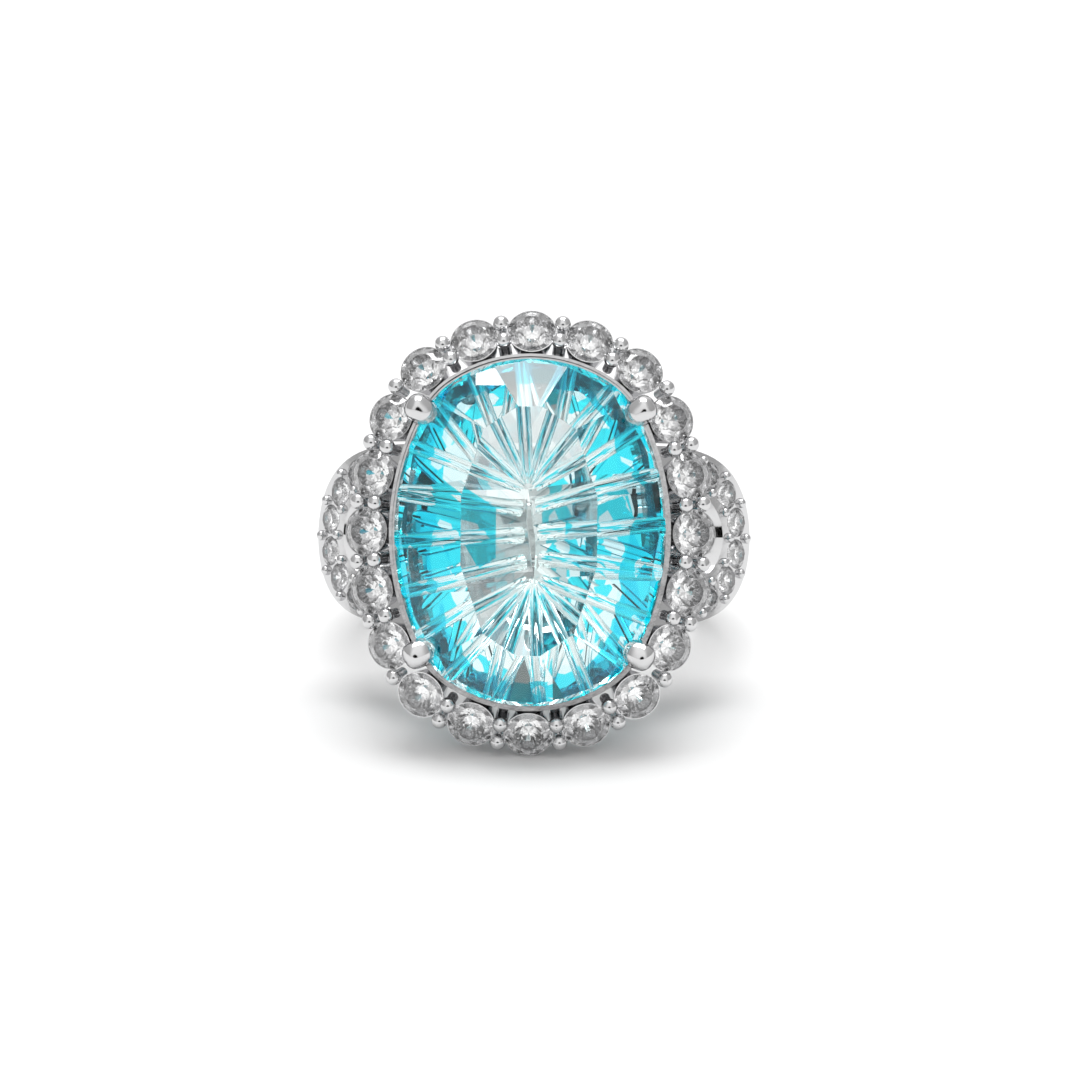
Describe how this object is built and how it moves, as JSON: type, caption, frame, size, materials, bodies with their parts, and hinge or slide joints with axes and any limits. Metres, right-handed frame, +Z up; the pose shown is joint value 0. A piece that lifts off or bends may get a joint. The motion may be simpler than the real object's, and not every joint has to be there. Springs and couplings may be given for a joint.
{
  "type": "cocktail ring",
  "caption": "Finger ring with a large cushion-oval blue stone in four claws, a scalloped halo of small clear stones and stone-set horseshoe shoulders on a plain hoop.",
  "frame": {"origin": "centre of the finger hole", "axes": "X runs across the finger, the ring lies on a table leaning back 21.6 degrees, so the head faces -Y and a little up, +Y points to the back of the hoop and +Z is up"},
  "size_m": [0.0228, 0.0295, 0.0214],
  "materials": {
    "polished_silver": "polished",
    "blue_stone": "polished",
    "clear_stone": "polished"
  },
  "bodies": {
    "root": {"base_gallery_lower": "polished_silver", "base_gallery_upper": "polished_silver", "centre_stone": "blue_stone", "claw_1": "polished_silver", "claw_2": "polished_silver", "claw_3": "polished_silver", "claw_4": "polished_silver", "gallery_rail": "polished_silver", "gallery_struts": "polished_silver", "halo_beads": "polished_silver", "halo_frame": "polished_silver", "halo_stone_01": "clear_stone", "halo_stone_02": "clear_stone", "halo_stone_03": "clear_stone", "halo_stone_04": "clear_stone", "halo_stone_05": "clear_stone", "halo_stone_06": "clear_stone", "halo_stone_07": "clear_stone", "halo_stone_08": "clear_stone", "halo_stone_09": "clear_stone", "halo_stone_10": "clear_stone", "halo_stone_11": "clear_stone", "halo_stone_12": "clear_stone", "halo_stone_13": "clear_stone", "halo_stone_14": "clear_stone", "halo_stone_15": "clear_stone", "halo_stone_16": "clear_stone", "halo_stone_17": "clear_stone", "halo_stone_18": "clear_stone", "halo_stone_19": "clear_stone", "halo_stone_20": "clear_stone", "hoop": "polished_silver", "shoulder_arm_left_lower": "polished_silver", "shoulder_arm_left_upper": "polished_silver", "shoulder_arm_right_lower": "polished_silver", "shoulder_arm_right_upper": "polished_silver", "shoulder_beads_left_lower": "polished_silver", "shoulder_beads_left_upper": "polished_silver", "shoulder_beads_right_lower": "polished_silver", "shoulder_beads_right_upper": "polished_silver", "shoulder_stone_left_lower_1": "clear_stone", "shoulder_stone_left_lower_2": "clear_stone", "shoulder_stone_left_lower_3": "clear_stone", "shoulder_stone_left_lower_4": "clear_stone", "shoulder_stone_left_upper_1": "clear_stone", "shoulder_stone_left_upper_2": "clear_stone", "shoulder_stone_left_upper_3": "clear_stone", "shoulder_stone_left_upper_4": "clear_stone", "shoulder_stone_right_lower_1": "clear_stone", "shoulder_stone_right_lower_2": "clear_stone", "shoulder_stone_right_lower_3": "clear_stone", "shoulder_stone_right_lower_4": "clear_stone", "shoulder_stone_right_upper_1": "clear_stone", "shoulder_stone_right_upper_2": "clear_stone", "shoulder_stone_right_upper_3": "clear_stone", "shoulder_stone_right_upper_4": "clear_stone", "stone_rim": "polished_silver"}
  },
  "joints": []
}
